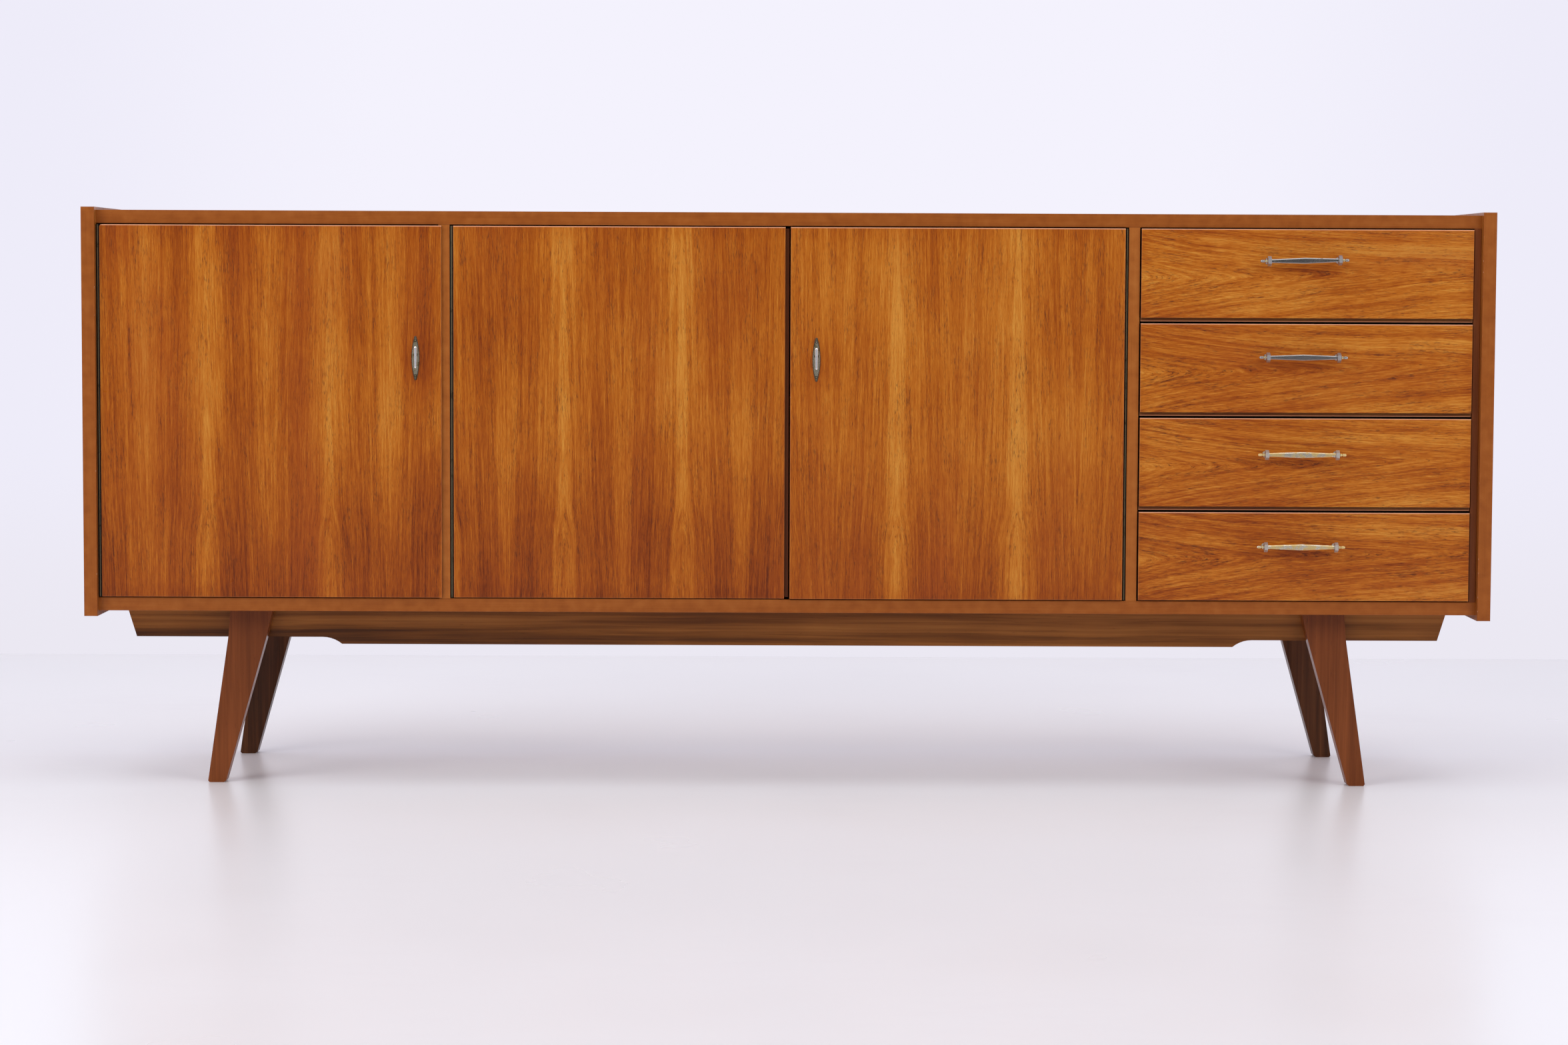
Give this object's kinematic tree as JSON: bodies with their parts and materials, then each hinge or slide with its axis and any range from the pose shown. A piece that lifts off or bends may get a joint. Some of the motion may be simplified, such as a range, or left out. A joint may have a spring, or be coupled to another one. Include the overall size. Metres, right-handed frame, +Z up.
{
  "type": "sideboard buffet",
  "caption": "Long low sideboard on splayed tapered legs, with hinged doors on the left and in the middle and a stack of drawers with bar pulls on the right.",
  "frame": {"origin": "on the floor, under the middle of the whole outline", "axes": "+X along the front to the right as seen from the front, +Y from the front to the back, +Z up"},
  "size_m": [2, 0.447, 0.825],
  "materials": {
    "door_veneer": "gloss-varnished veneer with strong grain",
    "case_wood": "satin-varnished",
    "rail_wood": "stained and satin-varnished",
    "dark_wood": "dark stained, satin-varnished",
    "pale_wood": "bare",
    "aged_brass": "dull, aged",
    "pull_chrome": "plated, worn on the edges",
    "steel": "plain"
  },
  "bodies": {
    "case": {"side_panel_left": "case_wood", "side_panel_right": "case_wood", "top_board": "case_wood", "bottom_board": "case_wood", "partition_left": "case_wood", "partition_right": "case_wood", "drawer_filler_strip": "dark_wood", "back_panel": "pale_wood", "shelf_left": "case_wood", "shelf_middle": "case_wood", "shelf_pins": "steel", "drawer_runners": "pale_wood", "hinge_leaves_case": "aged_brass", "hinge_screws_case": "aged_brass", "hinge_pins": "aged_brass", "front_rail": "rail_wood", "rear_rail": "rail_wood", "cross_rails": "rail_wood", "leg_front_left": "dark_wood", "leg_front_right": "dark_wood", "leg_rear_left": "dark_wood", "leg_rear_right": "dark_wood", "leg_screws": "steel"},
    "left_door": {"door_left": "door_veneer", "hinge_leaf_door_left": "aged_brass", "hinge_screws_door_left": "aged_brass", "lock_case_left": "steel", "escutcheon_left": "pull_chrome"},
    "middle_door": {"door_middle": "door_veneer", "hinge_leaf_door_middle": "aged_brass", "hinge_screws_door_middle": "aged_brass", "astragal_strip": "dark_wood", "lock_keeper": "steel", "slide_bolt_guide": "steel"},
    "right_door": {"door_right": "door_veneer", "hinge_leaf_door_right": "aged_brass", "hinge_screws_door_right": "aged_brass", "lock_case_right": "steel", "escutcheon_right": "pull_chrome"},
    "left_lock_bolt": {"lock_bolt_left": "steel"},
    "right_lock_bolt": {"lock_bolt_right": "steel"},
    "shut_bolt": {"slide_bolt": "steel"},
    "left_key_cover": {"key_cover_left": "pull_chrome"},
    "right_key_cover": {"key_cover_right": "pull_chrome"},
    "drawer_1": {"drawer_1_front": "door_veneer", "drawer_1_box": "pale_wood", "drawer_1_bottom": "pale_wood", "drawer_1_pull": "pull_chrome"},
    "drawer_2": {"drawer_2_front": "door_veneer", "drawer_2_box": "pale_wood", "drawer_2_bottom": "pale_wood", "drawer_2_pull": "pull_chrome"},
    "drawer_3": {"drawer_3_front": "door_veneer", "drawer_3_box": "pale_wood", "drawer_3_bottom": "pale_wood", "drawer_3_pull": "pull_chrome"},
    "drawer_4": {"drawer_4_front": "door_veneer", "drawer_4_box": "pale_wood", "drawer_4_bottom": "pale_wood", "drawer_4_pull": "pull_chrome"}
  },
  "joints": [
    {"name": "left_door_hinge", "type": "hinge", "parent": "case", "child": "left_door", "pos_m": [-0.9785, -0.19607, 0.5363], "axis": [0, 0, -1], "range_deg": [0, 90]},
    {"name": "middle_door_hinge", "type": "hinge", "parent": "case", "child": "middle_door", "pos_m": [-0.4785, -0.19207, 0.5363], "axis": [0, 0, -1], "range_deg": [0, 95]},
    {"name": "right_door_hinge", "type": "hinge", "parent": "case", "child": "right_door", "pos_m": [0.4785, -0.19207, 0.5363], "axis": [0, 0, 1], "range_deg": [0, 90]},
    {"name": "left_lock_bolt_slide", "type": "slide", "parent": "left_door", "child": "left_lock_bolt", "axis": [1, 0, 0], "range_m": [0, 0.008]},
    {"name": "right_lock_bolt_slide", "type": "slide", "parent": "right_door", "child": "right_lock_bolt", "axis": [-1, 0, 0], "range_m": [0, 0.01]},
    {"name": "shut_bolt_slide", "type": "slide", "parent": "middle_door", "child": "shut_bolt", "axis": [0, 0, 1], "range_m": [0, 0.01]},
    {"name": "left_key_cover_swing", "type": "hinge", "parent": "left_door", "child": "left_key_cover", "pos_m": [-0.5293, -0.19927, 0.6277], "axis": [0, -1, 0], "range_deg": [-75, 75]},
    {"name": "right_key_cover_swing", "type": "hinge", "parent": "right_door", "child": "right_key_cover", "pos_m": [0.039, -0.19927, 0.6277], "axis": [0, -1, 0], "range_deg": [-75, 75]},
    {"name": "drawer_1_slide", "type": "slide", "parent": "case", "child": "drawer_1", "axis": [0, -1, 0], "range_m": [0, 0.3]},
    {"name": "drawer_2_slide", "type": "slide", "parent": "case", "child": "drawer_2", "axis": [0, -1, 0], "range_m": [0, 0.3]},
    {"name": "drawer_3_slide", "type": "slide", "parent": "case", "child": "drawer_3", "axis": [0, -1, 0], "range_m": [0, 0.3]},
    {"name": "drawer_4_slide", "type": "slide", "parent": "case", "child": "drawer_4", "axis": [0, -1, 0], "range_m": [0, 0.3]}
  ]
}
